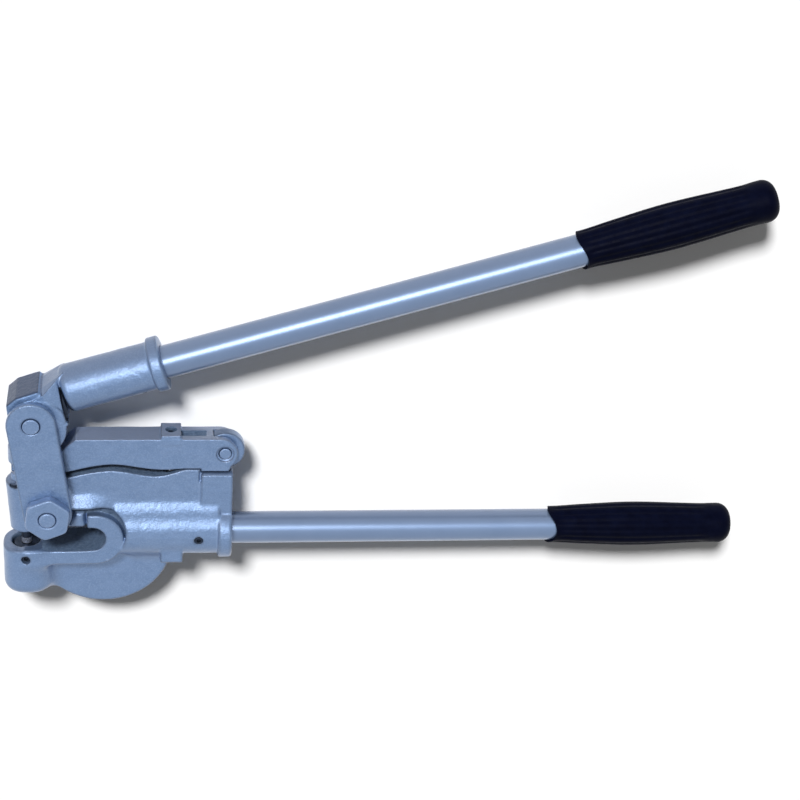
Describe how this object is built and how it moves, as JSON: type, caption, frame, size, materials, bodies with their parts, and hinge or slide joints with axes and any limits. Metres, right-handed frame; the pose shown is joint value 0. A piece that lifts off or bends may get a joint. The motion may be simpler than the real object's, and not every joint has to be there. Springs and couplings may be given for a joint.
{
  "type": "lever hole punch",
  "caption": "Hand lever hole punch: cast C-frame with a deep throat and die, eccentric handle on side links, sprung pressure bar and sliding punch.",
  "frame": {"origin": "centre of the bounding box's bottom; the tool lies on its side with the link bolt's rear head down", "axes": "+X along the lower handle towards its grip, +Y from the die up through the punch, +Z out of the side that faces up"},
  "size_m": [0.591, 0.3702, 0.0673],
  "materials": {
    "cast_paint": "blue-silver metallic paint over a slightly rough casting",
    "tube_paint": "smooth blue-silver metallic paint on drawn tube",
    "grip": "satin dark moulded grip with faint flutes",
    "steel": "ground steel",
    "dark_steel": "blackened hardened steel"
  },
  "bodies": {
    "frame": {"frame_casting": "cast_paint", "lower_handle_tube": "tube_paint", "lower_grip": "grip", "lower_socket_screw": "dark_steel", "die": "dark_steel", "die_set_screw": "dark_steel", "link_bolt": "cast_paint", "link_bolt_nut": "cast_paint", "bar_pivot_pin": "steel", "bar_stop_screw": "dark_steel", "return_spring": "steel"},
    "plunger": {"plunger": "steel", "punch": "steel", "punch_set_screw": "dark_steel"},
    "links": {"front_link": "cast_paint", "rear_link": "cast_paint", "link_pin": "cast_paint"},
    "handle": {"handle_head_casting": "cast_paint", "upper_handle_tube": "tube_paint", "upper_grip": "grip", "upper_socket_screw": "dark_steel"},
    "pressure_bar": {"pressure_bar": "cast_paint"}
  },
  "joints": [
    {"name": "links_swing", "type": "hinge", "parent": "frame", "child": "links", "pos_m": [-0.25935, -0.09024, 0.0333], "axis": [0, 0, 1], "range_deg": [-0.34, 1.42]},
    {"name": "handle_hinge", "type": "hinge", "parent": "links", "child": "handle", "pos_m": [-0.26995, -0.01234, 0.0333], "axis": [0, 0, 1], "range_deg": [-16.6, 70.3]},
    {"name": "bar_hinge", "type": "hinge", "parent": "frame", "child": "pressure_bar", "pos_m": [-0.12335, -0.04514, 0.0333], "axis": [0, 0, 1], "range_deg": [-2.7, 0.65], "deforming": ["return_spring"]},
    {"name": "punch_slide", "type": "slide", "parent": "frame", "child": "plunger", "axis": [0, 1, 0], "range_m": [-0.00171, 0.0072]}
  ],
  "couplings": [
    {"joint": "links_swing", "follows": "handle_hinge", "ratio": 0.02},
    {"joint": "bar_hinge", "follows": "handle_hinge", "ratio": -0.038},
    {"joint": "punch_slide", "follows": "handle_hinge", "m_per_rad": 0.00585}
  ]
}
